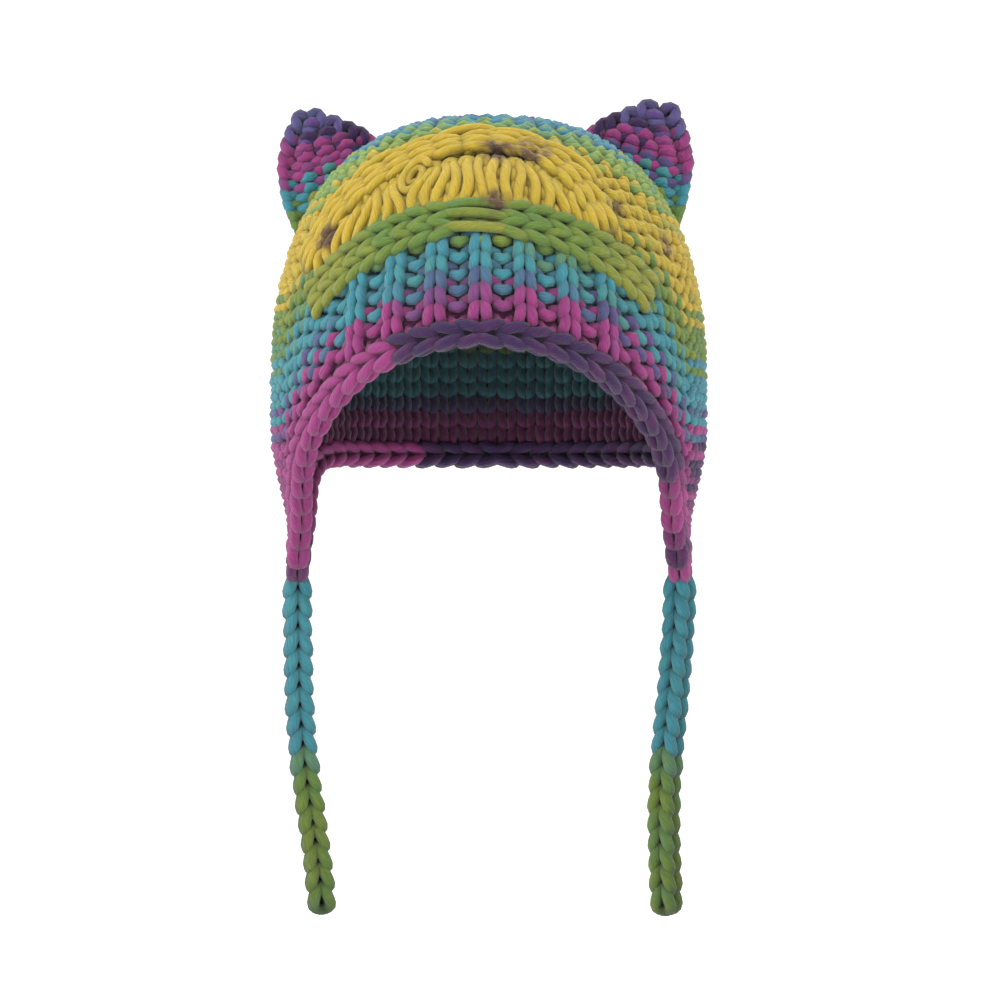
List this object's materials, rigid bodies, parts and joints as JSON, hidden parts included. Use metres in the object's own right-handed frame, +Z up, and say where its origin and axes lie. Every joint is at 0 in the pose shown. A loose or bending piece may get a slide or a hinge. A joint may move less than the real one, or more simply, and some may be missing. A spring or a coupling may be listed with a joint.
{
  "type": "cat ear beanie",
  "caption": "Knitted beanie with cat ears, earflaps, a cord edging and two long ties, in soft rainbow stripes.",
  "frame": {"origin": "middle of the head opening, level with the lower edge of the front rim", "axes": "+Z up out of the top of the crown, -Y out of the front of the hat, +X to the hat's right as seen from the front"},
  "size_m": [0.1614, 0.1949, 0.3023],
  "materials": {
    "rainbow_knit": "thick soft wool yarn, dyed in slow stripes of yellow, green, teal and magenta",
    "ear_knit": "the same yarn in reverse stockinette, green at the foot to dark purple at the tip",
    "flap_knit": "the same yarn, magenta",
    "edging_knit": "the same yarn, deep purple and magenta chain edge",
    "tie_knit": "the same yarn, knitted cord from teal and blue to green"
  },
  "bodies": {
    "root": {"crown": "rainbow_knit", "ear_left": "ear_knit", "ear_right": "ear_knit", "earflap_left": "flap_knit", "earflap_right": "flap_knit", "edging": "edging_knit", "tie_left": "tie_knit", "tie_right": "tie_knit"}
  },
  "joints": []
}
